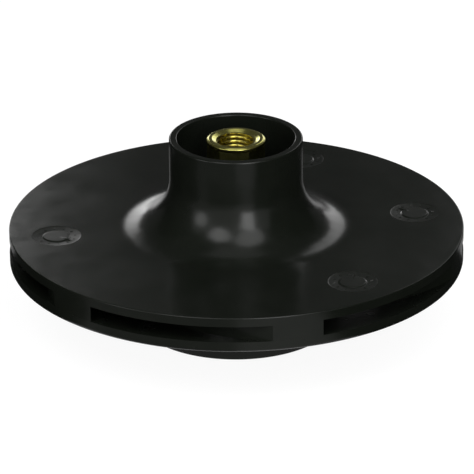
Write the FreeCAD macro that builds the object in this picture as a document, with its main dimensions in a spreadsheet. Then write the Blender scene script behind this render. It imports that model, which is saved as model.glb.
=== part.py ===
import FreeCAD, Part
import Sketcher
import math
import os
import re

from FreeCAD import Placement, Rotation, Vector

# A closed centrifugal pump impeller, 128 mm across. Its axis is Z. The origin is the centre of the
# eye ring's foot, on which it stands, and the neck for the motor shaft points up.
# Lengths are in millimetres and angles in degrees. Heights are measured up from the foot.
SIZES = {
    # Both shrouds and the vane tips end at the same radius.
    "disc_radius": 64.0,
    "outlet_floor": 22.2,
    "outlet_width": 4.5,
    "back_thickness": 2.6,
    # The front shroud is a shallow cone that turns down into the eye ring.
    "front_thickness": 3.0,
    "front_rim_bevel": 0.8,
    "cone_angle": 7.5,
    "eye_radius": 25.0,
    "eye_lip": 7.0,
    "ring_wall": 3.0,
    "ring_root": 4.0,
    "ring_bevel": 0.5,
    # The hub narrows down from the back shroud to a blunt nose in the eye.
    "hub_radius": 23.0,
    "nose_radius": 12.0,
    "nose_height": 18.5,
    # The neck rises from the back shroud in a trumpet flare and is an open cup.
    "neck_radius": 18.75,
    "neck_rise": 26.4,
    "neck_wall": 2.2,
    "flare_radius": 14.35,
    "cup_depth": 16.0,
    # Each vane is one arc in plan, given by its angle to the tangent at inlet and outlet.
    "vane_count": 6,
    "vane_thickness": 4.1,
    "vane_inlet_radius": 19.0,
    "vane_inlet_angle": 22.0,
    "vane_outlet_angle": 17.0,
    "vane_tip_azimuth": -75.4,
    "vane_root_radius": 15.0,
    "vane_root_height": 18.5,
    # The brass insert is a round bar with six flats milled below its head.
    "insert_setback": 0.2,
    "insert_length": 32.0,
    "insert_flats": 14.2,
    "insert_turn": -4.0,
    "head_radius": 8.25,
    "head_height": 1.3,
    "head_chamfer_width": 0.65,
    "head_chamfer_drop": 0.38,
    "countersink_radius": 6.7,
    "thread_bore": 9.86,
    "anchor_flats": 12.4,
    "anchor_width": 2.5,
    "anchor_rise": 6.0,
}

# Round stretches of the turned sections are drawn as this many straight steps.
FLARE_STEPS = 6
LIP_STEPS = 2
ROOT_STEPS = 2

# What follows from the sizes. Each relation may use the sizes and the relations above it.
RELATIONS = {
    "back_underside": "outlet_floor + outlet_width",
    "disc_top": "back_underside + back_thickness",
    "rim_bottom": "outlet_floor - front_thickness",
    "neck_top": "disc_top + neck_rise",
    "cup_radius": "neck_radius - neck_wall",
    "cup_floor": "neck_top - cup_depth",
    # The flare is a quarter round that touches the neck and the disc.
    "flare_axis": "neck_radius + flare_radius",
    "flare_height": "disc_top + flare_radius",
    # The lip and the ring's root are rounds that touch the cone and the upright wall.
    "lip_axis": "eye_radius + eye_lip",
    "lip_height": "outlet_floor - (disc_radius - lip_axis) * tan(cone_angle)"
                  " - eye_lip / cos(cone_angle)",
    "ring_radius": "eye_radius + ring_wall",
    "root_axis": "ring_radius + ring_root",
    "root_height": "rim_bottom - (disc_radius - root_axis) * tan(cone_angle)"
                   " - ring_root / cos(cone_angle)",
    # The vane's arc: its radius, and the distance of its centre from the impeller's axis.
    "inlet_reach": "vane_inlet_radius * cos(vane_inlet_angle)",
    "outlet_reach": "disc_radius * cos(vane_outlet_angle)",
    "vane_arc": "(disc_radius ^ 2 - vane_inlet_radius ^ 2) / (2 * (outlet_reach - inlet_reach))",
    "vane_offset": "sqrt(vane_arc ^ 2 + disc_radius ^ 2 - 2 * vane_arc * outlet_reach)",
    "convex_arc": "vane_arc + vane_thickness / 2",
    "concave_arc": "vane_arc - vane_thickness / 2",
    "middle_tip_cos": "(disc_radius ^ 2 + vane_offset ^ 2 - vane_arc ^ 2)"
                      " / (2 * disc_radius * vane_offset)",
    "convex_tip_cos": "(disc_radius ^ 2 + vane_offset ^ 2 - convex_arc ^ 2)"
                      " / (2 * disc_radius * vane_offset)",
    "concave_tip_cos": "(disc_radius ^ 2 + vane_offset ^ 2 - concave_arc ^ 2)"
                       " / (2 * disc_radius * vane_offset)",
    "inlet_cos": "(vane_inlet_radius ^ 2 + vane_offset ^ 2 - vane_arc ^ 2)"
                 " / (2 * vane_inlet_radius * vane_offset)",
    "inlet_across": "(vane_inlet_radius * inlet_cos - vane_offset) / vane_arc",
    "inlet_up": "-1 * vane_inlet_radius * sqrt(1 - inlet_cos ^ 2) / vane_arc",
    "vane_turn": "vane_tip_azimuth + acos(middle_tip_cos) / 1 deg",
    "insert_top": "neck_top - insert_setback",
    "insert_foot": "insert_top - insert_length",
    "insert_corner": "insert_flats / sqrt(3)",
    "bore_radius": "thread_bore / 2",
    "anchor_corner": "anchor_flats / sqrt(3)",
    "anchor_bottom": "insert_foot + anchor_rise",
    "anchor_top": "anchor_bottom + anchor_width",
}

doc = FreeCAD.newDocument("pump_impeller")


def make_sheet():
    """The table of driving sizes, one to a row, each under its own name."""
    sheet = doc.addObject("Spreadsheet::Sheet", "Sizes")
    for row, (name, value) in enumerate(SIZES.items(), start=1):
        sheet.set(f"A{row}", name)
        sheet.set(f"B{row}", str(value))
        sheet.setAlias(f"B{row}", name)
    doc.recompute()
    return sheet


def bind(formula):
    """The formula with each size and relation pointing to where its value is kept."""
    def place(word):
        if word[0] in SIZES:
            return "Sizes." + word[0]
        if word[0] in RELATIONS:
            return "Derived." + word[0]
        return word[0]
    return re.sub(r"[a-z_]+", place, formula)


def make_relations():
    """One set of variables that keeps every worked-out size up to date."""
    derived = doc.addObject("App::VarSet", "Derived")
    for name, formula in RELATIONS.items():
        derived.addProperty("App::PropertyFloat", name, "Relations")
        derived.setExpression(name, bind(formula))
        doc.recompute()
    return derived


def value(formula):
    """The number that a formula stands for."""
    return float(doc.Derived.evalExpression(bind(formula)))


def make_body(name):
    """An empty body whose label names the piece."""
    body = doc.addObject("PartDesign::Body", name)
    body.Label = name
    body.Placement = Placement()
    body.AllowCompound = True
    return body


def origin_part(body, role):
    """A plane or axis of the body's own origin."""
    return next(part for part in body.Origin.OriginFeatures if part.Role == role)


def make_sketch(body, name, plane, height=None, turn=None):
    """An empty outline on one of the body's planes, raised and turned by formulas."""
    sketch = body.newObject("Sketcher::SketchObject", name)
    sketch.AttachmentSupport = (origin_part(body, plane), [""])
    sketch.MapMode = "FlatFace"
    rise = value(height) if height else 0
    angle = value(turn) if turn else 0
    sketch.AttachmentOffset = Placement(Vector(0, 0, rise), Rotation(Vector(0, 0, 1), angle))
    if height:
        sketch.setExpression("AttachmentOffset.Base.z", bind(height))
    if turn:
        sketch.setExpression("AttachmentOffset.Rotation.Angle", bind(turn))
    return sketch


def pin_point(sketch, geometry, end, across, up):
    """Holds one end of a line or arc at the two formulas."""
    for kind, axis, formula in (("DistanceX", -2, across), ("DistanceY", -1, up)):
        if formula == "0":
            sketch.addConstraint(Sketcher.Constraint("PointOnObject", geometry, end, axis))
        else:
            index = sketch.addConstraint(
                Sketcher.Constraint(kind, -1, 1, geometry, end, value(formula)))
            sketch.setExpression(f"Constraints[{index}]", bind(formula))


def arc_between(start, finish, radius, turn):
    """The short arc from start to finish, with its centre on the left if it turns left."""
    chord = finish - start
    side = Vector(-chord.y, chord.x, 0).normalize()
    if turn == "right":
        side = -side
    rise = math.sqrt(max(radius ** 2 - (chord.Length / 2) ** 2, 0))
    centre = (start + finish) / 2 + side * rise
    first, last = (start, finish) if turn == "left" else (finish, start)
    first_angle = math.atan2(first.y - centre.y, first.x - centre.x)
    last_angle = math.atan2(last.y - centre.y, last.x - centre.x)
    circle = Part.Circle(centre, Vector(0, 0, 1), radius)
    return Part.ArcOfCircle(circle, first_angle, last_angle)


def hold_arc(sketch, geometry, radius, centre=None):
    """Sets how far an arc swells between its ends: by its radius, or a half round by its centre."""
    if centre:
        rule = Sketcher.Constraint("DistanceX", -1, 1, geometry, 3, value(centre))
    else:
        rule = Sketcher.Constraint("Radius", geometry, value(radius))
    index = sketch.addConstraint(rule)
    sketch.setExpression(f"Constraints[{index}]", bind(centre or radius))


def draw_outline(sketch, corners):
    """A closed outline of (across, up) corners, with a radius and a turn where an arc leaves one.

    A half round also has how far across its centre is, because its ends already set its radius.
    """
    points = [Vector(value(corner[0]), value(corner[1]), 0) for corner in corners]
    ends = []
    for index, corner in enumerate(corners):
        start = points[index]
        finish = points[(index + 1) % len(points)]
        if len(corner) == 2:
            geometry = sketch.addGeometry(Part.LineSegment(start, finish), False)
            ends.append((geometry, 1, 2))
            continue
        radius, turn = corner[2:4]
        geometry = sketch.addGeometry(arc_between(start, finish, value(radius), turn), False)
        ends.append((geometry, 1, 2) if turn == "left" else (geometry, 2, 1))
    for index, corner in enumerate(corners):
        geometry, start_end, _ = ends[index]
        previous, _, finish_end = ends[index - 1]
        sketch.addConstraint(
            Sketcher.Constraint("Coincident", previous, finish_end, geometry, start_end))
        pin_point(sketch, geometry, start_end, corner[0], corner[1])
        if len(corner) > 2:
            hold_arc(sketch, geometry, corner[2], *corner[4:])


def turned(body, kind, name, corners):
    """Adds or cuts a ring about the axis, from its outline in radius and height."""
    sketch = make_sketch(body, name + "_section", "XZ_Plane")
    draw_outline(sketch, corners)
    feature = body.newObject("PartDesign::" + kind, name)
    feature.Profile = sketch
    feature.ReferenceAxis = (sketch, ["V_Axis"])
    feature.Angle = 360
    doc.recompute()
    return feature


def stepped(centre_across, centre_up, radius, first, last, steps):
    """The corners of a round stretch between its two ends, at even angles."""
    corners = []
    for step in range(1, steps):
        angle = f"({first} + ({last} - ({first})) * {step} / {steps})"
        across = f"{centre_across} + {radius} * cos({angle})"
        up = f"{centre_up} + {radius} * sin({angle})"
        corners.append((across, up))
    return corners


def passage_floor():
    """The front shroud's wet surface, from the rim in to the lip and the wall of the eye."""
    return [
        ("lip_axis - eye_lip * sin(cone_angle)", "lip_height + eye_lip * cos(cone_angle)"),
        *stepped("lip_axis", "lip_height", "eye_lip", "90 + cone_angle", "180", LIP_STEPS),
        ("eye_radius", "lip_height"),
    ]


def hexagon(corner):
    """The corners of a six-sided outline that lie this far from the axis."""
    return [(f"{corner} * cos({angle})", f"{corner} * sin({angle})") for angle in range(0, 360, 60)]


def draw_anchor(body, height):
    """The plan of the groove milled round the insert's flats, where the moulding grips it."""
    sketch = make_sketch(body, "anchor_plan", "XY_Plane", height, "insert_turn")
    draw_outline(sketch, hexagon("insert_corner"))
    draw_outline(sketch, hexagon("anchor_corner"))
    return sketch


def raised(body, kind, name, sketch, length):
    """Adds a pad on a sketch, or cuts a pocket below it."""
    feature = body.newObject("PartDesign::" + kind, name)
    feature.Profile = sketch
    feature.Length = value(length)
    feature.setExpression("Length", bind(length))
    doc.recompute()
    return feature


def cut_vane_feet(body):
    """Trims the vanes to the front shroud and slopes their leading edges up to the hub."""
    beyond = "disc_radius + 1"
    turned(body, "Groove", "vane_feet", [
        (beyond, "outlet_floor + tan(cone_angle)"),
        *passage_floor(),
        ("vane_root_radius", "vane_root_height"),
        ("vane_root_radius", "0"),
        (beyond, "0"),
    ])


def make_vanes(body):
    """Backward-curved vanes, spaced evenly, from the inlet out to the rim."""
    sketch = make_sketch(body, "vane_plan", "XY_Plane", "lip_height", "vane_turn")
    draw_outline(sketch, [
        ("vane_offset + convex_arc * inlet_across", "convex_arc * inlet_up", "convex_arc", "left"),
        ("disc_radius * convex_tip_cos", "-1 * disc_radius * sqrt(1 - convex_tip_cos ^ 2)",
         "disc_radius", "left"),
        ("disc_radius * concave_tip_cos", "-1 * disc_radius * sqrt(1 - concave_tip_cos ^ 2)",
         "concave_arc", "right"),
        ("vane_offset + concave_arc * inlet_across", "concave_arc * inlet_up",
         "vane_thickness / 2", "left", "vane_offset + vane_arc * inlet_across"),
    ])
    vane = raised(body, "Pad", "vane", sketch, "back_underside + back_thickness / 2 - lip_height")
    ring = body.newObject("PartDesign::PolarPattern", "vane_ring")
    ring.Originals = [vane]
    ring.Axis = (origin_part(body, "Z_Axis"), [""])
    ring.Angle = 360
    ring.Occurrences = int(SIZES["vane_count"])
    ring.setExpression("Occurrences", bind("vane_count"))
    body.Tip = ring
    doc.recompute()


def make_back_piece():
    """Back shroud, hub, neck cup and vanes: one moulding, formed around the brass insert."""
    body = make_body("vaned_back_shroud")
    make_vanes(body)
    cut_vane_feet(body)
    turned(body, "Revolution", "shroud_and_neck", [
        ("0", "nose_height"),
        ("nose_radius", "nose_height"),
        ("hub_radius", "back_underside"),
        ("disc_radius", "back_underside"),
        ("disc_radius", "disc_top"),
        ("flare_axis", "disc_top"),
        *stepped("flare_axis", "flare_height", "flare_radius", "270", "180", FLARE_STEPS),
        ("neck_radius", "flare_height"),
        ("neck_radius", "neck_top"),
        ("cup_radius", "neck_top"),
        ("cup_radius", "cup_floor"),
        ("0", "cup_floor"),
    ])
    cut_socket(body)
    return body


def cut_socket(body):
    """The hexagonal socket that the moulding leaves around the insert, with the rib that anchors it."""
    sketch = make_sketch(body, "socket_plan", "XY_Plane", "cup_floor", "insert_turn")
    draw_outline(sketch, hexagon("insert_corner"))
    raised(body, "Pocket", "socket", sketch, "cup_floor - insert_foot")
    raised(body, "Pad", "anchor_rib", draw_anchor(body, "anchor_bottom"), "anchor_width")


def make_front_shroud():
    """The cover moulding: a shallow cone with the eye ring, joined to the vanes' lower edges."""
    body = make_body("front_shroud")
    turned(body, "Revolution", "cone_and_ring", [
        ("disc_radius", "outlet_floor"),
        *passage_floor(),
        ("eye_radius", "0"),
        ("ring_radius - ring_bevel", "0"),
        ("ring_radius", "ring_bevel"),
        ("ring_radius", "root_height"),
        *stepped("root_axis", "root_height", "ring_root", "180", "90 + cone_angle", ROOT_STEPS),
        ("root_axis - ring_root * sin(cone_angle)", "root_height + ring_root * cos(cone_angle)"),
        ("disc_radius - front_rim_bevel", "rim_bottom - front_rim_bevel * tan(cone_angle)"),
        ("disc_radius", "rim_bottom + front_rim_bevel"),
    ])
    return body


def make_insert():
    """The brass insert: hexagonal body, round head, threaded bore and an anchoring groove."""
    body = make_body("threaded_insert")
    sketch = make_sketch(body, "flats_plan", "XY_Plane", "insert_foot", "insert_turn")
    draw_outline(sketch, hexagon("insert_corner"))
    raised(body, "Pad", "flats", sketch, "insert_length - head_height")
    turned(body, "Revolution", "head", [
        ("0", "insert_top - head_height"),
        ("head_radius", "insert_top - head_height"),
        ("head_radius", "insert_top - head_chamfer_drop"),
        ("head_radius - head_chamfer_width", "insert_top"),
        ("0", "insert_top"),
    ])
    turned(body, "Groove", "bore", [
        ("0", "insert_foot"),
        ("bore_radius", "insert_foot"),
        ("bore_radius", "insert_top - countersink_radius + bore_radius"),
        ("countersink_radius", "insert_top"),
        ("0", "insert_top"),
    ])
    raised(body, "Pocket", "anchor_groove", draw_anchor(body, "anchor_top"), "anchor_width")
    return body


def check_document():
    """Stops if any object failed or took more or less material than it should."""
    for thing in doc.Objects:
        if "Invalid" in thing.State or "Error" in thing.State:
            raise RuntimeError(f"{thing.Label} failed: {thing.State}")
        if thing.TypeId in ("PartDesign::Pocket", "PartDesign::Groove"):
            if thing.Shape.Volume >= thing.BaseFeature.Shape.Volume:
                raise RuntimeError(f"{thing.Label} cuts nothing")


def write_piece(body):
    """Writes one piece, which must be a single valid solid."""
    shape = body.Shape
    if shape.isNull() or not shape.isValid() or len(shape.Solids) != 1:
        raise RuntimeError(f"{body.Label} is not one valid solid")
    shape.Solids[0].exportStep(f"parts/{body.Label}.step")
    print(f"{body.Label}: {shape.Volume / 1000:.2f} cm3, {len(shape.Faces)} faces")


os.makedirs("parts", exist_ok=True)
make_sheet()
make_relations()
pieces = [make_back_piece(), make_front_shroud(), make_insert()]
doc.recompute()
check_document()
for piece in pieces:
    write_piece(piece)
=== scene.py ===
import math

import bmesh
import bpy
from mathutils import Matrix, Vector


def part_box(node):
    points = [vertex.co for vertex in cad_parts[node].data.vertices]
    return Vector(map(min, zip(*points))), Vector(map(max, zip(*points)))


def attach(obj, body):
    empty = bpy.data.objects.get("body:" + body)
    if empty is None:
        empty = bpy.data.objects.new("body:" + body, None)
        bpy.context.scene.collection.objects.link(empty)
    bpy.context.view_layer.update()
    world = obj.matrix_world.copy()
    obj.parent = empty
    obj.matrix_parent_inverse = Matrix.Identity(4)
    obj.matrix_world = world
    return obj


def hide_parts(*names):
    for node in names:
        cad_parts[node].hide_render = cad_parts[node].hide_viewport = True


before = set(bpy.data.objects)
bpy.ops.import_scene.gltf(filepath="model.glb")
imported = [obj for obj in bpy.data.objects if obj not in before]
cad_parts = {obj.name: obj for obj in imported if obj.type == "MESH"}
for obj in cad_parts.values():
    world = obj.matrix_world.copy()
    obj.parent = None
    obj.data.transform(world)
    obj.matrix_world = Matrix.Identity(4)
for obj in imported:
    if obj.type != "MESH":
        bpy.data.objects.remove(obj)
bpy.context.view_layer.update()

MM = 0.001

# What the frame says about the impeller. Heights are measured up from the eye ring's foot.
BACK_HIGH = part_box("vaned_back_shroud")[1]
FRONT_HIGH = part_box("front_shroud")[1]
INSERT_LOW, INSERT_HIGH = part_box("threaded_insert")
DISC_RADIUS = BACK_HIGH.x
NECK_TOP = BACK_HIGH.z
OUTLET_FLOOR = FRONT_HIGH.z
INSERT_FOOT = INSERT_LOW.z
INSERT_TOP = INSERT_HIGH.z

# Back shroud, hub and neck.
OUTLET_WIDTH = 4.5 * MM
BACK_UNDERSIDE = OUTLET_FLOOR + OUTLET_WIDTH
DISC_TOP = BACK_UNDERSIDE + 2.6 * MM
DISC_EDGE_ROUND = 0.3 * MM
HUB_RADIUS = 23 * MM
NOSE_RADIUS = 12 * MM
NOSE_HEIGHT = 18.5 * MM
NOSE_ROUND = 2 * MM
NECK_RADIUS = 18.75 * MM
NECK_EDGE_ROUND = 0.45 * MM
CUP_RADIUS = 16.55 * MM
CUP_EDGE_ROUND = 0.35 * MM
CUP_FLOOR = NECK_TOP - 16 * MM
CUP_FLOOR_ROUND = 1 * MM
FLARE_RADIUS = 14.35 * MM

# Front shroud: a shallow cone that turns down into the eye ring.
FRONT_THICKNESS = 3 * MM
CONE_SLOPE = math.tan(math.radians(7.5))
EYE_RADIUS = 25 * MM
EYE_LIP = 7 * MM
RING_RADIUS = 28 * MM
RING_ROOT = 4 * MM
RING_EDGE_ROUND = 0.5 * MM
MOUTH_ROUND = 0.8 * MM
RIM_ROUND = 1.1 * MM
RIM_BOTTOM = OUTLET_FLOOR - FRONT_THICKNESS

# Vanes. Each is one arc in plan, fixed by its radii and its angles to the tangent at inlet and outlet.
VANE_COUNT = 6
VANE_THICKNESS = 4.1 * MM
VANE_INLET_RADIUS = 19 * MM
VANE_INLET_ANGLE = math.radians(22)
VANE_OUTLET_ANGLE = math.radians(17)
VANE_TIP_AZIMUTH = math.radians(-75.4)
VANE_ROOT_RADIUS = 15 * MM
VANE_ROOT_HEIGHT = 18.5 * MM
VANE_REACH = DISC_RADIUS - 0.02 * MM
VANE_SPARE = 10 * MM

# Weld beads at each vane's tip, one in the seam and one on the cover's lower edge. Each has its height and
# its distance from the axis, then half its length and half its height in millimetres.
WELD_BEADS = ((OUTLET_FLOOR + 0.12 * MM, VANE_REACH - 0.05 * MM, 1.3, 0.17),
              (RIM_BOTTOM + 0.12 * MM, DISC_RADIUS - 0.62 * MM, 1.9, 0.2))
WELD_BEAD_HALF_DEPTH = 0.3
WELD_BEAD_SINK = 0.24 * MM
WELD_BEAD_AZIMUTH = VANE_TIP_AZIMUTH - math.radians(3)

# Brass insert.
INSERT_FLATS = 14.2 * MM
INSERT_TURN = math.radians(-4)
HEX_EDGE_ROUND = 0.25 * MM
HEAD_RADIUS = 8.25 * MM
HEAD_HEIGHT = 1.3 * MM
HEAD_CHAMFER_WIDTH = 0.65 * MM
HEAD_CHAMFER_DROP = 0.38 * MM
COUNTERSINK_RADIUS = 6.7 * MM
COUNTERSINK_FOOT = 5.6 * MM
COUNTERSINK_DEPTH = 0.6 * MM
ANCHOR_FLATS = 12.4 * MM
ANCHOR_BOTTOM = INSERT_FOOT + 6 * MM
ANCHOR_TOP = ANCHOR_BOTTOM + 2.5 * MM
THREAD_PITCH = 1.27 * MM
THREAD_MINOR = 4.93 * MM
THREAD_MAJOR = 5.56 * MM
FIRST_CREST_DROP = 1.78 * MM
THREAD_SPARE_TURNS = 4
THREAD_TURNS_ABOVE = 3.75

# Round mould marks on the disc, by their azimuth in degrees.
MARK_CIRCLE = 51 * MM
MARK_AZIMUTHS = (8.5, 68.5, 188.5, 308.5)
MARK_RADIUS = 6.9 * MM
MARK_BOSS_RADIUS = 3.6 * MM
MARK_BOSS_DROP = 0.02 * MM
MARK_DEPTH = 0.28 * MM
MARK_TICK_CIRCLE = 5.3 * MM
MARK_TICK_DROP = 0.08 * MM
MARK_TICK_SPACING = 30
MARK_POINTER_MIDDLE = 3.6 * MM
MARK_POINTER_DROP = 0.1 * MM
MARK_POINTER_TURN = math.radians(135)

ROUND_STEPS = 288
VANE_STEPS = 48
THREAD_STEPS = 60
OVERLAP = 0.3 * MM
JOIN_DISTANCE = 1e-7
MOULDED_SHARP_ANGLE = 32
TURNED_SHARP_ANGLE = 25


# Modelling helpers.


def draw_section(mesh, corners):
    """A closed outline in radius and height. A corner is (across, up) or (across, up, round, segments)."""
    points = [mesh.verts.new((corner[0], 0, corner[1])) for corner in corners]
    for point, after in zip(points, points[1:] + points[:1]):
        mesh.edges.new((point, after))
    for index, corner in enumerate(corners):
        if len(corner) == 4:
            round_corner(mesh, points[index], corner[2], corner[3])


def round_corner(mesh, point, radius, segments):
    """Rounds one corner of an outline to a radius."""
    ways = [(edge.other_vert(point).co - point.co).normalized() for edge in point.link_edges]
    half_corner = ways[0].angle(ways[1]) / 2
    bmesh.ops.bevel(mesh, geom=[point], offset=radius / math.tan(half_corner), offset_type="OFFSET",
                    segments=segments, profile=0.5, affect="VERTICES", material=-1)


def spun(corners, steps=ROUND_STEPS):
    """A closed ring about the upright axis, from its section."""
    mesh = bmesh.new()
    draw_section(mesh, corners)
    bmesh.ops.spin(mesh, geom=mesh.verts[:] + mesh.edges[:], cent=(0, 0, 0), axis=(0, 0, 1),
                   angle=2 * math.pi, steps=steps, use_merge=True)
    return closed(mesh)


def closed(mesh):
    """Merges what meets, drops faces with no area and points the rest outwards."""
    bmesh.ops.remove_doubles(mesh, verts=mesh.verts, dist=JOIN_DISTANCE)
    bmesh.ops.dissolve_degenerate(mesh, edges=mesh.edges, dist=JOIN_DISTANCE)
    bmesh.ops.recalc_face_normals(mesh, faces=mesh.faces)
    return mesh


def as_object(mesh, name):
    """The mesh as an object at the origin."""
    data = bpy.data.meshes.new(name)
    mesh.to_mesh(data)
    mesh.free()
    thing = bpy.data.objects.new(name, data)
    bpy.context.scene.collection.objects.link(thing)
    return thing


def applied(thing):
    """The object with its modifiers made part of its mesh."""
    depsgraph = bpy.context.evaluated_depsgraph_get()
    finished = bpy.data.meshes.new_from_object(thing.evaluated_get(depsgraph))
    thing.modifiers.clear()
    thing.data = finished
    return thing


def combined(base, tool, operation):
    """Joins, cuts or trims a closed object with another, which is used up."""
    boolean = base.modifiers.new("combine", "BOOLEAN")
    boolean.operation = operation
    boolean.solver = "EXACT"
    boolean.object = tool
    applied(base)
    bpy.data.objects.remove(tool)
    return base


def smoothed(thing, sharp_angle):
    """Shades the piece smooth, apart from its sharp edges, with flat faces kept flat."""
    thing.data.shade_smooth()
    thing.data.set_sharp_from_angle(angle=math.radians(sharp_angle))
    weighted = thing.modifiers.new("flat_faces_first", "WEIGHTED_NORMAL")
    weighted.keep_sharp = True
    return applied(thing)


def turned_copies(mesh, angles):
    """Copies everything in the mesh to each of these angles about the upright axis."""
    first = mesh.verts[:] + mesh.edges[:] + mesh.faces[:]
    for angle in angles:
        copy = bmesh.ops.duplicate(mesh, geom=first)["geom"]
        verts = [part for part in copy if isinstance(part, bmesh.types.BMVert)]
        bmesh.ops.rotate(mesh, verts=verts, cent=(0, 0, 0), matrix=Matrix.Rotation(angle, 3, "Z"))


# Shapes of the two mouldings.


def cone_height(across):
    """Height of the front shroud's wet side at a radius."""
    return OUTLET_FLOOR - (DISC_RADIUS - across) * CONE_SLOPE


def make_turned_back():
    """Back shroud, hub, flare and neck cup, as one turned form."""
    return as_object(spun([
        (0, NOSE_HEIGHT),
        (NOSE_RADIUS, NOSE_HEIGHT, NOSE_ROUND, 6),
        (HUB_RADIUS, BACK_UNDERSIDE),
        (DISC_RADIUS, BACK_UNDERSIDE),
        (DISC_RADIUS, DISC_TOP, DISC_EDGE_ROUND, 4),
        (NECK_RADIUS, DISC_TOP, FLARE_RADIUS, 48),
        (NECK_RADIUS, NECK_TOP, NECK_EDGE_ROUND, 5),
        (CUP_RADIUS, NECK_TOP, CUP_EDGE_ROUND, 5),
        (CUP_RADIUS, CUP_FLOOR, CUP_FLOOR_ROUND, 6),
        (0, CUP_FLOOR),
    ]), "back_moulding")


def make_passage_room():
    """The space between the shrouds that the vanes fill, as one turned form."""
    lip_axis = EYE_RADIUS + EYE_LIP
    beyond = cone_height(EYE_RADIUS)
    return as_object(spun([
        (VANE_ROOT_RADIUS, BACK_UNDERSIDE + OVERLAP),
        (VANE_ROOT_RADIUS, VANE_ROOT_HEIGHT),
        (EYE_RADIUS, cone_height(lip_axis) - EYE_LIP),
        (EYE_RADIUS, beyond, EYE_LIP, 24),
        (VANE_REACH, cone_height(VANE_REACH)),
        (VANE_REACH, BACK_UNDERSIDE + OVERLAP),
    ]), "passage_room")


def make_vanes():
    """Backward-curved vanes: one swept wall, repeated and trimmed to the space between the shrouds."""
    inlet = VANE_INLET_RADIUS
    outlet = DISC_RADIUS
    inlet_reach = inlet * math.cos(VANE_INLET_ANGLE)
    outlet_reach = outlet * math.cos(VANE_OUTLET_ANGLE)
    arc = (outlet ** 2 - inlet ** 2) / (2 * (outlet_reach - inlet_reach))
    offset = math.sqrt(arc ** 2 + outlet ** 2 - 2 * arc * outlet_reach)
    tip_azimuth = math.acos((outlet ** 2 + offset ** 2 - arc ** 2) / (2 * outlet * offset))
    start = swing(inlet, arc, offset)
    finish = swing(outlet + VANE_THICKNESS, arc, offset)
    mesh = bmesh.new()
    low = NOSE_HEIGHT - VANE_SPARE
    high = BACK_UNDERSIDE + VANE_SPARE
    wall = [mesh.verts.new((arc + side * VANE_THICKNESS / 2, 0, up))
            for side, up in ((-1, low), (1, low), (1, high), (-1, high))]
    for point, after in zip(wall, wall[1:] + wall[:1]):
        mesh.edges.new((point, after))
    bmesh.ops.rotate(mesh, verts=mesh.verts, cent=(0, 0, 0), matrix=Matrix.Rotation(start, 3, "Z"))
    bmesh.ops.spin(mesh, geom=mesh.verts[:] + mesh.edges[:], cent=(0, 0, 0), axis=(0, 0, 1),
                   angle=finish - start, steps=VANE_STEPS)
    bmesh.ops.holes_fill(mesh, edges=mesh.edges, sides=4)
    nose = [edge for edge in mesh.edges if is_nose_edge(edge, start)]
    bmesh.ops.bevel(mesh, geom=nose, offset=VANE_THICKNESS * 0.49, offset_type="OFFSET", segments=8,
                    profile=0.5, affect="EDGES", material=-1)
    bmesh.ops.translate(mesh, verts=mesh.verts, vec=(offset, 0, 0))
    turn = VANE_TIP_AZIMUTH + tip_azimuth
    bmesh.ops.rotate(mesh, verts=mesh.verts, cent=(0, 0, 0), matrix=Matrix.Rotation(turn, 3, "Z"))
    spacing = 2 * math.pi / VANE_COUNT
    turned_copies(mesh, [spacing * step for step in range(1, VANE_COUNT)])
    vanes = as_object(closed(mesh), "vanes")
    return combined(vanes, make_passage_room(), "INTERSECT")


def swing(radius, arc, offset):
    """Angle about the vane's own centre at which its arc reaches this radius of the impeller."""
    across = (radius ** 2 - offset ** 2 - arc ** 2) / (2 * offset)
    return -math.acos(across / arc)


def is_nose_edge(edge, start):
    """True for the two upright edges at the wall's inlet end."""
    first, last = (point.co for point in edge.verts)
    upright = abs(first.z - last.z) > MM
    return upright and abs(math.atan2(first.y, first.x) - start) < 1e-4


def make_socket():
    """The hexagonal space that the insert fills."""
    return as_object(hex_bar(INSERT_FOOT, CUP_FLOOR + OVERLAP), "socket")


def make_back_moulding():
    """Back shroud, hub, neck cup and vanes: one moulding, with its round mould marks."""
    back = make_turned_back()
    combined(back, make_vanes(), "UNION")
    combined(back, make_socket(), "DIFFERENCE")
    combined(back, make_mark_dishes(), "DIFFERENCE")
    combined(back, make_mark_relief(), "UNION")
    return smoothed(back, MOULDED_SHARP_ANGLE)


def make_front_moulding():
    """Cover moulding: a shallow cone with the eye ring."""
    front = as_object(spun([
        (DISC_RADIUS, OUTLET_FLOOR),
        (EYE_RADIUS, cone_height(EYE_RADIUS), EYE_LIP, 24),
        (EYE_RADIUS, 0, MOUTH_ROUND, 5),
        (RING_RADIUS, 0, RING_EDGE_ROUND, 5),
        (RING_RADIUS, cone_height(RING_RADIUS) - FRONT_THICKNESS, RING_ROOT, 12),
        (DISC_RADIUS, RIM_BOTTOM, RIM_ROUND, 8),
    ]), "front_moulding")
    combined(front, make_weld_beads(), "UNION")
    return smoothed(front, MOULDED_SHARP_ANGLE)


def make_weld_beads():
    """What squeezed out at each vane's tip: one bead in the seam and one on the cover's lower edge."""
    mesh = bmesh.new()
    for height, reach, half_length, half_height in WELD_BEADS:
        bead = bmesh.ops.create_uvsphere(mesh, u_segments=24, v_segments=12, radius=MM)["verts"]
        bmesh.ops.scale(mesh, verts=bead, vec=(WELD_BEAD_HALF_DEPTH, half_length, half_height))
        bmesh.ops.translate(mesh, verts=bead, vec=(reach - WELD_BEAD_SINK, 0, height))
    bmesh.ops.rotate(mesh, verts=mesh.verts, cent=(0, 0, 0),
                     matrix=Matrix.Rotation(WELD_BEAD_AZIMUTH, 3, "Z"))
    spacing = 2 * math.pi / VANE_COUNT
    turned_copies(mesh, [spacing * step for step in range(1, VANE_COUNT)])
    return as_object(closed(mesh), "weld_beads")


# Round mould marks.


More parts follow.
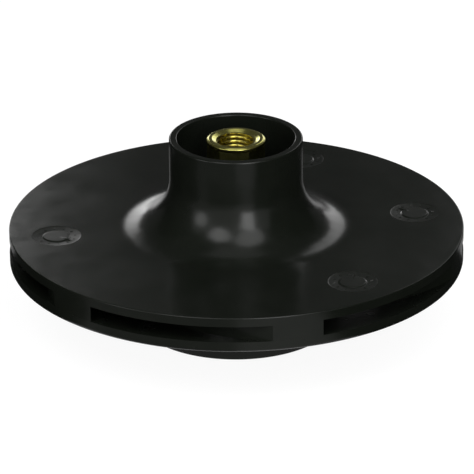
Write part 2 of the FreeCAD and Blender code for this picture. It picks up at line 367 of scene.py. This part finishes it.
def placed_marks(mesh):
    """Repeats one mark, modelled about the origin, at its places on the disc."""
    first = mesh.verts[:] + mesh.edges[:] + mesh.faces[:]
    for azimuth in MARK_AZIMUTHS:
        copy = bmesh.ops.duplicate(mesh, geom=first)["geom"]
        verts = [part for part in copy if isinstance(part, bmesh.types.BMVert)]
        bmesh.ops.translate(mesh, verts=verts, vec=(MARK_CIRCLE, 0, DISC_TOP))
        bmesh.ops.rotate(mesh, verts=verts, cent=(0, 0, 0),
                         matrix=Matrix.Rotation(math.radians(azimuth), 3, "Z"))
    bmesh.ops.delete(mesh, geom=[part for part in first if isinstance(part, bmesh.types.BMVert)],
                     context="VERTS")
    return mesh


def make_mark_dishes():
    """The shallow dish of each mark, sunk round a low boss."""
    mesh = spun([
        (0, OVERLAP),
        (0, -MARK_BOSS_DROP),
        (MARK_BOSS_RADIUS, -MARK_BOSS_DROP, 0.25 * MM, 3),
        (MARK_BOSS_RADIUS + 0.4 * MM, -MARK_DEPTH, 0.2 * MM, 3),
        (MARK_RADIUS - 0.25 * MM, -0.1 * MM, 0.15 * MM, 3),
        (MARK_RADIUS, 0),
        (MARK_RADIUS, OVERLAP),
    ], steps=64)
    return as_object(placed_marks(mesh), "mark_dishes")


def make_mark_relief():
    """Low ticks round each dish and a plain pointer across it."""
    mesh = bmesh.new()
    half_turn = Matrix.Rotation(math.pi / 4, 4, "Z")
    bmesh.ops.create_cone(mesh, cap_ends=True, cap_tris=False, segments=4, radius1=0.9 * MM,
                          radius2=0.4 * MM, depth=OVERLAP, matrix=half_turn)
    bmesh.ops.scale(mesh, verts=mesh.verts, vec=(1, 0.4, 1))
    bmesh.ops.translate(mesh, verts=mesh.verts, vec=(MARK_TICK_CIRCLE, 0, -MARK_TICK_DROP - OVERLAP / 2))
    turned_copies(mesh, [math.radians(turn) for turn in range(MARK_TICK_SPACING, 360, MARK_TICK_SPACING)])
    pointer = bmesh.ops.create_cone(mesh, cap_ends=True, cap_tris=False, segments=4, radius1=MM,
                                    radius2=0.3 * MM, depth=0.4 * MM, matrix=half_turn)["verts"]
    bmesh.ops.scale(mesh, verts=pointer, vec=(3.4, 0.5, 1))
    bmesh.ops.translate(mesh, verts=pointer, vec=(MARK_POINTER_MIDDLE, 0, -MARK_POINTER_DROP))
    bmesh.ops.rotate(mesh, verts=pointer, cent=(0, 0, 0), matrix=Matrix.Rotation(MARK_POINTER_TURN, 3, "Z"))
    return as_object(closed(placed_marks(mesh)), "mark_relief")


# Shape of the brass insert.


def hex_bar(low, high, flats=INSERT_FLATS):
    """An upright six-sided bar."""
    mesh = bmesh.new()
    corner = flats / math.sqrt(3)
    bmesh.ops.create_cone(mesh, cap_ends=True, cap_tris=False, segments=6, radius1=corner,
                          radius2=corner, depth=high - low,
                          matrix=Matrix.Rotation(INSERT_TURN, 4, "Z") @ Matrix.Rotation(math.pi / 6, 4, "Z"))
    bmesh.ops.translate(mesh, verts=mesh.verts, vec=(0, 0, (low + high) / 2))
    return mesh


def make_shank():
    """The hexagonal bar below the head, with its rounded corners and anchoring groove."""
    mesh = hex_bar(INSERT_FOOT, INSERT_TOP - HEAD_HEIGHT / 2)
    upright = [edge for edge in mesh.edges if abs(edge.verts[0].co.z - edge.verts[1].co.z) > MM]
    bmesh.ops.bevel(mesh, geom=upright, offset=HEX_EDGE_ROUND, offset_type="OFFSET", segments=3,
                    profile=0.5, affect="EDGES", material=-1)
    shank = as_object(mesh, "shank")
    sleeve = as_object(hex_bar(ANCHOR_BOTTOM, ANCHOR_TOP, flats=2 * INSERT_FLATS), "groove_cutter")
    core = hex_bar(ANCHOR_BOTTOM - OVERLAP, ANCHOR_TOP + OVERLAP, flats=ANCHOR_FLATS)
    combined(sleeve, as_object(core, "groove_core"), "DIFFERENCE")
    return combined(shank, sleeve, "DIFFERENCE")


def make_head():
    """The round head, chamfered at its outer edge."""
    return as_object(spun([
        (0, INSERT_TOP - HEAD_HEIGHT),
        (HEAD_RADIUS, INSERT_TOP - HEAD_HEIGHT, 0.08 * MM, 3),
        (HEAD_RADIUS, INSERT_TOP - HEAD_CHAMFER_DROP, 0.12 * MM, 3),
        (HEAD_RADIUS - HEAD_CHAMFER_WIDTH, INSERT_TOP, 0.3 * MM, 3),
        (0, INSERT_TOP),
    ], steps=144), "head")


def make_countersink():
    """The shallow cone at the mouth of the thread."""
    return as_object(spun([
        (0, INSERT_TOP - COUNTERSINK_DEPTH),
        (COUNTERSINK_FOOT, INSERT_TOP - COUNTERSINK_DEPTH),
        (COUNTERSINK_RADIUS, INSERT_TOP),
        (COUNTERSINK_RADIUS, INSERT_TOP + OVERLAP),
        (0, INSERT_TOP + OVERLAP),
    ], steps=144), "countersink")


def make_tap():
    """The threaded rod that cuts the insert's right-hand thread."""
    low = INSERT_FOOT - OVERLAP
    high = INSERT_TOP + OVERLAP
    turns = math.ceil((high - low) / THREAD_PITCH) + THREAD_SPARE_TURNS
    start = INSERT_TOP - FIRST_CREST_DROP - (turns - THREAD_TURNS_ABOVE) * THREAD_PITCH
    half_tooth = ((0, 0), (0.045, 0.009), (0.09, 0.036), (0.13, 0.087), (0.4375, 0.63))
    tooth = half_tooth + tuple((1 - share, rise) for share, rise in reversed(half_tooth))
    mesh = bmesh.new()
    points = [mesh.verts.new((THREAD_MINOR + rise * MM, 0, start + (share - 1) * THREAD_PITCH))
              for share, rise in tooth]
    for point, after in zip(points, points[1:]):
        mesh.edges.new((point, after))
    bmesh.ops.spin(mesh, geom=mesh.verts[:] + mesh.edges[:], cent=(0, 0, 0), axis=(0, 0, 1),
                   dvec=(0, 0, THREAD_PITCH / THREAD_STEPS), angle=2 * math.pi * turns,
                   steps=THREAD_STEPS * turns)
    bmesh.ops.remove_doubles(mesh, verts=mesh.verts, dist=JOIN_DISTANCE)
    for height, side in ((low, -1), (high, 1)):
        cut = bmesh.ops.bisect_plane(mesh, geom=mesh.verts[:] + mesh.edges[:] + mesh.faces[:],
                                     plane_co=(0, 0, height), plane_no=(0, 0, side), clear_outer=True)
        rim = [part for part in cut["geom_cut"] if isinstance(part, bmesh.types.BMEdge)]
        bmesh.ops.contextual_create(mesh, geom=rim)
    return as_object(closed(mesh), "tap")


def make_insert():
    """The brass insert: hexagonal shank, round head, countersink and thread."""
    insert = make_shank()
    combined(insert, make_head(), "UNION")
    combined(insert, make_countersink(), "DIFFERENCE")
    combined(insert, make_tap(), "DIFFERENCE")
    insert.name = "brass_insert"
    insert.data.name = "brass_insert"
    return smoothed(insert, TURNED_SHARP_ANGLE)


# Finishes. A pattern is placed by Object coordinates, in metres, so its scale is in waves to the metre.

PATCH_SCALE = 48
WAVE_SCALE = 150
WAVE_HEIGHT = 0.1 * MM
MARK_WAVE_SCALE = 500
MARK_WAVE_HEIGHT = 0.03 * MM
GRAIN_SCALE = 1400
GRAIN_SHARE = 0.035
MOULDING_DARK = (0.0040, 0.0050, 0.0036, 1)
MOULDING_LIGHT = (0.0058, 0.0068, 0.0052, 1)
MOULDING_SPECULAR = 0.15
CLOUD_SCALE = 420
TOOL_MARK_SCALE = 9000
TOOL_MARK_HEIGHT = 0.006 * MM


def new_material(name):
    """A material with its nodes, its shader and its links at hand."""
    material = bpy.data.materials.new(name)
    material.use_nodes = True
    nodes = material.node_tree.nodes
    return material, nodes, material.node_tree.links, nodes["Principled BSDF"]


def put(tree, kind, sockets=None, **settings):
    """Adds a node. A socket is given a number or colour, or another node's output."""
    node = tree.nodes.new(kind)
    for name, setting in settings.items():
        setattr(node, name, setting)
    for name, given in (sockets or {}).items():
        if isinstance(given, bpy.types.NodeSocket):
            tree.links.new(given, node.inputs[name])
        else:
            node.inputs[name].default_value = given
    return node


def new_group(name, inputs, outputs):
    """An effect for several finishes, with its named inputs and outputs."""
    group = bpy.data.node_groups.new(name, "ShaderNodeTree")
    for direction, sockets in (("INPUT", inputs), ("OUTPUT", outputs)):
        for socket, kind in sockets.items():
            group.interface.new_socket(name=socket, in_out=direction, socket_type="NodeSocket" + kind)
    return group, put(group, "NodeGroupInput").outputs, put(group, "NodeGroupOutput").inputs


def make_moulded_skin():
    """Cloudy patches and a fine grain, as a roughness and a height."""
    group, given, result = new_group(
        "moulded_skin",
        {"Place": "Vector", "Patches": "Float", "Waves": "Float", "Grain": "Float", "Smooth": "Float",
         "Rough": "Float"},
        {"Roughness": "Float", "Height": "Float", "Patch": "Float"})
    patches = put(group, "ShaderNodeTexNoise", {"Vector": given["Place"], "Scale": given["Patches"],
                                                "Detail": 4, "Roughness": 0.6})
    waves = put(group, "ShaderNodeTexNoise", {"Vector": given["Place"], "Scale": given["Waves"],
                                              "Detail": 0.6, "Roughness": 0.5})
    grain = put(group, "ShaderNodeTexNoise", {"Vector": given["Place"], "Scale": given["Grain"],
                                              "Detail": 2, "Roughness": 0.6})
    patch = put(group, "ShaderNodeMapRange", {"Value": patches.outputs["Fac"], "From Min": 0.25,
                                              "From Max": 0.75}, interpolation_type="SMOOTHSTEP")
    roughness = put(group, "ShaderNodeMapRange", {"Value": patch.outputs["Result"],
                                                  "To Min": given["Smooth"], "To Max": given["Rough"]})
    faint = put(group, "ShaderNodeMath", {0: grain.outputs["Fac"], 1: GRAIN_SHARE}, operation="MULTIPLY")
    height = put(group, "ShaderNodeMath", {0: waves.outputs["Fac"], 1: faint.outputs["Value"]},
                 operation="ADD")
    group.links.new(roughness.outputs["Result"], result["Roughness"])
    group.links.new(height.outputs["Value"], result["Height"])
    group.links.new(patch.outputs["Result"], result["Patch"])
    return group


def make_tarnish():
    """Where brass has dulled: clouds broken up by small spots."""
    group, given, result = new_group(
        "tarnish", {"Place": "Vector", "Clouds": "Float", "Amount": "Float"}, {"Dulled": "Float"})
    clouds = put(group, "ShaderNodeTexNoise", {"Vector": given["Place"], "Scale": given["Clouds"],
                                               "Detail": 5, "Roughness": 0.65})
    lowest = put(group, "ShaderNodeMath", {0: 0.75, 1: given["Amount"]}, operation="SUBTRACT")
    spread = put(group, "ShaderNodeMapRange", {"Value": clouds.outputs["Fac"],
                                               "From Min": lowest.outputs["Value"], "From Max": 0.78})
    group.links.new(spread.outputs["Result"], result["Dulled"])
    return group


def make_tool_marks():
    """Fine rings about the axis, as a lathe tool leaves them."""
    group, given, result = new_group(
        "tool_marks", {"Place": "Vector", "Fineness": "Float"}, {"Height": "Float"})
    flat = put(group, "ShaderNodeVectorMath", {0: given["Place"], 1: (1, 1, 0)}, operation="MULTIPLY")
    across = put(group, "ShaderNodeVectorMath", {0: flat.outputs["Vector"]}, operation="LENGTH")
    rings = put(group, "ShaderNodeTexNoise", {"W": across.outputs["Value"], "Scale": given["Fineness"],
                                              "Detail": 3}, noise_dimensions="1D")
    group.links.new(rings.outputs["Fac"], result["Height"])
    return group


def make_moulding_finish(name, skin, smooth, rough, wave_scale=WAVE_SCALE, wave_height=WAVE_HEIGHT):
    """Near-black moulded plastic, satin and slightly uneven."""
    material, nodes, links, shader = new_material(name)
    tree = material.node_tree
    place = put(tree, "ShaderNodeTexCoord").outputs["Object"]
    surface = put(tree, "ShaderNodeGroup", node_tree=skin)
    links.new(place, surface.inputs["Place"])
    for socket, number in (("Patches", PATCH_SCALE), ("Waves", wave_scale), ("Grain", GRAIN_SCALE),
                           ("Smooth", smooth), ("Rough", rough)):
        surface.inputs[socket].default_value = number
    shade = put(tree, "ShaderNodeMix", {"Factor": surface.outputs["Patch"], "A": MOULDING_DARK,
                                        "B": MOULDING_LIGHT}, data_type="RGBA")
    bump = put(tree, "ShaderNodeBump", {"Height": surface.outputs["Height"], "Distance": wave_height})
    links.new(shade.outputs["Result"], shader.inputs["Base Color"])
    links.new(surface.outputs["Roughness"], shader.inputs["Roughness"])
    links.new(bump.outputs["Normal"], shader.inputs["Normal"])
    shader.inputs["Specular IOR Level"].default_value = MOULDING_SPECULAR
    return material


def make_brass_finish(name, tarnish, tool_marks, bright, dull, smooth, rough, amount):
    """Brass with tool marks that has dulled in clouds."""
    material, nodes, links, shader = new_material(name)
    tree = material.node_tree
    place = put(tree, "ShaderNodeTexCoord").outputs["Object"]
    clouds = put(tree, "ShaderNodeGroup", node_tree=tarnish)
    marks = put(tree, "ShaderNodeGroup", node_tree=tool_marks)
    links.new(place, clouds.inputs["Place"])
    links.new(place, marks.inputs["Place"])
    clouds.inputs["Clouds"].default_value = CLOUD_SCALE
    clouds.inputs["Amount"].default_value = amount
    marks.inputs["Fineness"].default_value = TOOL_MARK_SCALE
    dulled = clouds.outputs["Dulled"]
    colour = put(tree, "ShaderNodeMix", {"Factor": dulled, "A": bright, "B": dull}, data_type="RGBA")
    roughness = put(tree, "ShaderNodeMapRange", {"Value": dulled, "To Min": smooth, "To Max": rough})
    bump = put(tree, "ShaderNodeBump", {"Height": marks.outputs["Height"], "Distance": TOOL_MARK_HEIGHT})
    links.new(colour.outputs["Result"], shader.inputs["Base Color"])
    links.new(roughness.outputs["Result"], shader.inputs["Roughness"])
    links.new(bump.outputs["Normal"], shader.inputs["Normal"])
    shader.inputs["Metallic"].default_value = 1
    return material


def make_moulding_finishes():
    """Finishes of the back moulding, its round marks and the front moulding."""
    skin = make_moulded_skin()
    return (make_moulding_finish("back_black", skin, 0.2, 0.245),
            make_moulding_finish("mark_black", skin, 0.26, 0.36, MARK_WAVE_SCALE, MARK_WAVE_HEIGHT),
            make_moulding_finish("front_black", skin, 0.22, 0.3))


def make_brass_finishes():
    """Finishes of the turned head, the thread and the milled shank; the shank's darker brass colour is
    painted shade.
    """
    tarnish = make_tarnish()
    tool_marks = make_tool_marks()
    return (make_brass_finish("brass_turned", tarnish, tool_marks, (0.5, 0.48, 0.14, 1),
                              (0.3, 0.27, 0.07, 1), 0.19, 0.32, 0.34),
            make_brass_finish("brass_threaded", tarnish, tool_marks, (0.5, 0.45, 0.12, 1),
                              (0.26, 0.19, 0.04, 1), 0.14, 0.26, 0.35),
            # Shank brass at about half the head's colour: painted shade under the head and down in the cup;
            # its higher roughness is the milled finish.
            make_brass_finish("brass_milled_painted_shade", tarnish, tool_marks, (0.26, 0.26, 0.085, 1),
                              (0.12, 0.12, 0.04, 1), 0.28, 0.4, 0.35))


def back_finish(corners):
    """Which of the back moulding's finishes a face has: 1 on a round mark, and 0 elsewhere."""
    if min(corner.z for corner in corners) < DISC_TOP - 2 * MARK_DEPTH:
        return 0
    for azimuth in MARK_AZIMUTHS:
        middle = Vector((MARK_CIRCLE, 0, 0))
        middle.rotate(Matrix.Rotation(math.radians(azimuth), 3, "Z"))
        if max((corner.xy - middle.xy).length for corner in corners) < MARK_RADIUS + 0.01 * MM:
            return 1
    return 0


def insert_finish(corners):
    """Which of the insert's finishes a face has: 0 on the head, 1 in the thread, 2 on the shank."""
    if max(corner.xy.length for corner in corners) < THREAD_MAJOR + 0.02 * MM:
        return 1
    return 2 if max(corner.z for corner in corners) < INSERT_TOP - HEAD_HEIGHT + 0.01 * MM else 0


# Camera, floor and lamps.

CAMERA_DISTANCE = 1.3
CAMERA_ELEVATION = math.radians(23.65)
CAMERA_ROLL = math.radians(0.35)
CAMERA_LENS = 349.9
CAMERA_AIM = Vector((0.15 * MM, 0, DISC_TOP - 4.06 * MM))
LAMP_AIM = Vector((0, 0, DISC_TOP))
WHITE = (1, 1, 1, 1)
AMBIENT_LIGHT = 0.3
FLOOR_REACH = 4
FLOOR_GREY = (0.12, 0.12, 0.12, 1)
FLOOR_GLOW = 0.92

# Sheets that only the object's gloss shows: painted reflections, dark ones for dark surroundings and glowing
# ones for painted highlights and glints. An outline is seen from above.
SHEET_BLACK = (0.01, 0.01, 0.01, 1)
SHEET_REACH = 1.2
FLOOR_REFLECTION_LIFT = 0.3 * MM
# Floor sheets: painted dark and grey reflections of the floor around the object.
DARK_FLOOR_REFLECTION = ((-1.2, -0.07), (-0.09, -0.06), (-0.05, -0.02), (0.035, -0.02), (0.16, -0.35), (1.2, -0.35),
              (1.2, 1.2), (-1.2, 1.2))
DARK_REFLECTION_GLOW = 0.005
GREY_FLOOR_REFLECTION = ((-1.2, -0.35), (0, -0.35), (0, -0.055), (-0.08, -0.055), (-0.09, -0.061), (-1.2, -0.071))
GREY_REFLECTION_GLOW = 0.4
# Back, top and side sheets paint dark reflections, and the ceiling sheet paints a bright one.
CARD_REFLECTION_GLOW = 0.08
CEILING_REACH = 0.3
CEILING_HEIGHT = 1.19
CEILING_REFLECTION_GLOW = 0.9
LEFT_REFLECTION_FRONT = -0.4
RIGHT_REFLECTION_FRONT = -0.85
# Two small glowing floor sheets beside the object paint glints on the rim's ends.
GLINT_INNER = 0.06
GLINT_OUTER = 0.1
GLINT_FRONT = 0.04
GLINT_BACK = 0.09
PAINTED_GLINT_GLOW = 0.35

# Lamps: name, place, width, height, radiance, lean in degrees and shape.
LAMPS = (
    ("left_back_box", (-0.134, 0.5, 0.15), 0.1, 0.25, 3.6, -14, "RECTANGLE"),
    ("right_back_box", (0.19, 0.5, 0.27), 0.13, 0.44, 2.2, 10, "RECTANGLE"),
    ("left_top_box", (-0.33, -0.57, 0.76), 0.44, 0.52, 7, 0, "ELLIPSE"),
    ("right_top_box", (0.258, -0.528, 0.82), 0.54, 0.72, 4.8, 0, "ELLIPSE"),
    ("left_side_box", (-0.72, -0.464, 0.28), 0.3, 0.42, 4.8, 0, "ELLIPSE"),
    ("right_front_strip", (0.247, -0.761, 0.28), 0.28, 0.54, 9, 0, "RECTANGLE"),
)


def make_camera():
    """A long lens, a little above the impeller, with the photograph's slight roll."""
    data = bpy.data.cameras.new("camera")
    data.lens = CAMERA_LENS
    data.sensor_width = 36
    data.clip_start = 0.1
    data.clip_end = 50
    camera = bpy.data.objects.new("camera", data)
    bpy.context.scene.collection.objects.link(camera)
    back = Vector((0, -math.cos(CAMERA_ELEVATION), math.sin(CAMERA_ELEVATION)))
    right = Vector((1, 0, 0))
    up = back.cross(right)
    rolled_up = up * math.cos(CAMERA_ROLL) + right * math.sin(CAMERA_ROLL)
    rolled_right = rolled_up.cross(back)
    turn = Matrix((rolled_right, rolled_up, back)).transposed().to_4x4()
    camera.matrix_world = Matrix.Translation(CAMERA_AIM + back * CAMERA_DISTANCE) @ turn
    bpy.context.scene.camera = camera


def make_world():
    """White to the camera and in reflections, and a soft grey light on the object."""
    world = bpy.data.worlds.new("studio")
    bpy.context.scene.world = world
    world.use_nodes = True
    strength = seen_or_mirrored(world.node_tree, AMBIENT_LIGHT, 1)
    world.node_tree.links.new(strength, world.node_tree.nodes["Background"].inputs["Strength"])
    world.node_tree.nodes["Background"].inputs["Color"].default_value = WHITE


def seen_or_mirrored(tree, otherwise, shown):
    """One value for camera, glossy and transmission rays, and another for the rest."""
    rays = tree.nodes.new("ShaderNodeLightPath")
    total = rays.outputs["Is Camera Ray"]
    for kind in ("Is Glossy Ray", "Is Transmission Ray"):
        either = tree.nodes.new("ShaderNodeMath")
        either.operation = "MAXIMUM"
        tree.links.new(total, either.inputs[0])
        tree.links.new(rays.outputs[kind], either.inputs[1])
        total = either.outputs[0]
    choice = tree.nodes.new("ShaderNodeMapRange")
    choice.inputs["To Min"].default_value = otherwise
    choice.inputs["To Max"].default_value = shown
    tree.links.new(total, choice.inputs["Value"])
    return choice.outputs["Result"]


def make_floor():
    """A plain white floor that keeps a faint shadow and can be looked through from below."""
    mesh = bmesh.new()
    bmesh.ops.create_grid(mesh, x_segments=1, y_segments=1, size=FLOOR_REACH)
    floor = as_object(mesh, "floor")
    material, nodes, links, shader = new_material("floor_white")
    shader.inputs["Base Color"].default_value = FLOOR_GREY
    shader.inputs["Roughness"].default_value = 1
    shader.inputs["Specular IOR Level"].default_value = 0
    shader.inputs["Emission Color"].default_value = WHITE
    strength = seen_or_mirrored(material.node_tree, 0, FLOOR_GLOW)
    links.new(strength, shader.inputs["Emission Strength"])
    clear = nodes.new("ShaderNodeBsdfTransparent")
    sides = nodes.new("ShaderNodeNewGeometry")
    choice = nodes.new("ShaderNodeMixShader")
    links.new(sides.outputs["Backfacing"], choice.inputs["Fac"])
    links.new(shader.outputs["BSDF"], choice.inputs[1])
    links.new(clear.outputs["BSDF"], choice.inputs[2])
    links.new(choice.outputs["Shader"], nodes["Material Output"].inputs["Surface"])
    floor.data.materials.append(material)


def painted_reflection_sheet(name, corners, glow):
    """A flat sheet of some glow that only the object's gloss shows: a painted reflection."""
    mesh = bmesh.new()
    mesh.faces.new([mesh.verts.new(corner) for corner in corners])
    sheet = as_object(mesh, name)
    material, nodes, links, shader = new_material(name + "_black")
    shader.inputs["Base Color"].default_value = SHEET_BLACK
    shader.inputs["Specular IOR Level"].default_value = 0
    shader.inputs["Emission Color"].default_value = WHITE
    shader.inputs["Emission Strength"].default_value = glow
    sheet.data.materials.append(material)
    # Hidden from the camera, from diffuse light and from shadows, the sheet shows only as a painted
    # reflection.
    sheet.visible_camera = False
    sheet.visible_diffuse = False
    sheet.visible_transmission = False
    sheet.visible_shadow = False


def level(outline, height):
    """Corners of a level sheet, from its outline seen from above."""
    return [(across, along, height) for across, along in outline]


def standing(first, last):
    """Corners of a card that stands on the floor, from the two ends of its foot."""
    return level((first, last), 0) + level((last, first), SHEET_REACH)


def rectangle(left, front, right, back):
    """Outline of a level rectangle."""
    return (left, front), (right, front), (right, back), (left, back)


def make_painted_reflection_sheets():
    """Painted reflections: dark and grey sheets on the floor with a gap in front, sheets behind, beside and
    above, and two small glowing ones for painted glints.
    """
    far = SHEET_REACH
    near = CEILING_REACH
    glint_height = 2 * FLOOR_REFLECTION_LIFT
    # Each sheet is a painted reflection, and the two glint sheets paint glints.
    painted_reflection_sheet("floor_dark_reflection", level(DARK_FLOOR_REFLECTION, FLOOR_REFLECTION_LIFT), DARK_REFLECTION_GLOW)
    painted_reflection_sheet("floor_grey_reflection", level(GREY_FLOOR_REFLECTION, FLOOR_REFLECTION_LIFT), GREY_REFLECTION_GLOW)
    painted_reflection_sheet("back_reflection_sheet", standing((-far, far), (far, far)), CARD_REFLECTION_GLOW)
    painted_reflection_sheet("top_reflection_sheet", level(rectangle(-far, -far, far, far), far), CARD_REFLECTION_GLOW)
    painted_reflection_sheet("ceiling_reflection_sheet", level(rectangle(-near, -near, near, near), CEILING_HEIGHT), CEILING_REFLECTION_GLOW)
    painted_reflection_sheet("left_reflection_sheet", standing((-far, LEFT_REFLECTION_FRONT), (-far, far)), DARK_REFLECTION_GLOW)
    painted_reflection_sheet("right_reflection_sheet", standing((far, RIGHT_REFLECTION_FRONT), (far, far)), DARK_REFLECTION_GLOW)
    painted_reflection_sheet("left_painted_glint_sheet", level(rectangle(-GLINT_OUTER, GLINT_FRONT, -GLINT_INNER, GLINT_BACK),
                                         glint_height), PAINTED_GLINT_GLOW)
    painted_reflection_sheet("right_painted_glint_sheet", level(rectangle(GLINT_INNER, GLINT_FRONT, GLINT_OUTER, GLINT_BACK),
                                          glint_height), PAINTED_GLINT_GLOW)


def make_lamp(name, place, width, height, radiance, lean, shape):
    """A soft box of a given brightness at its place, turned to the disc and leaning by some degrees."""
    data = bpy.data.lights.new(name, "AREA")
    data.shape = shape
    data.size = width
    data.size_y = height
    data.energy = radiance * math.pi * width * height * (1 if shape == "RECTANGLE" else math.pi / 4)
    lamp = bpy.data.objects.new(name, data)
    bpy.context.scene.collection.objects.link(lamp)
    lamp.location = place
    facing = (LAMP_AIM - Vector(place)).to_track_quat("-Z", "Y").to_matrix()
    lamp.rotation_euler = (facing @ Matrix.Rotation(math.radians(lean), 3, "Z")).to_euler()
    lamp.visible_camera = False


def make_lamps():
    """Two soft boxes behind, two large round ones above the camera, one at the left and a strip in front."""
    for lamp in LAMPS:
        make_lamp(*lamp)


def dressed(piece, node, finishes, choose=None):
    """Puts a finished piece in the place of its node, with its finishes given out face by face."""
    piece.data.materials.clear()
    for finish in finishes:
        piece.data.materials.append(finish)
    if choose:
        for face in piece.data.polygons:
            face.material_index = choose([piece.data.vertices[index].co for index in face.vertices])
    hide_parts(node)
    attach(piece, "root")


def main():
    make_camera()
    make_world()
    make_floor()
    make_painted_reflection_sheets()
    make_lamps()
    bpy.context.scene.view_settings.view_transform = "Standard"
    back_black, mark_black, front_black = make_moulding_finishes()
    dressed(make_back_moulding(), "vaned_back_shroud", (back_black, mark_black),
            back_finish)
    dressed(make_front_moulding(), "front_shroud", (front_black,))
    dressed(make_insert(), "threaded_insert", make_brass_finishes(), insert_finish)


main()
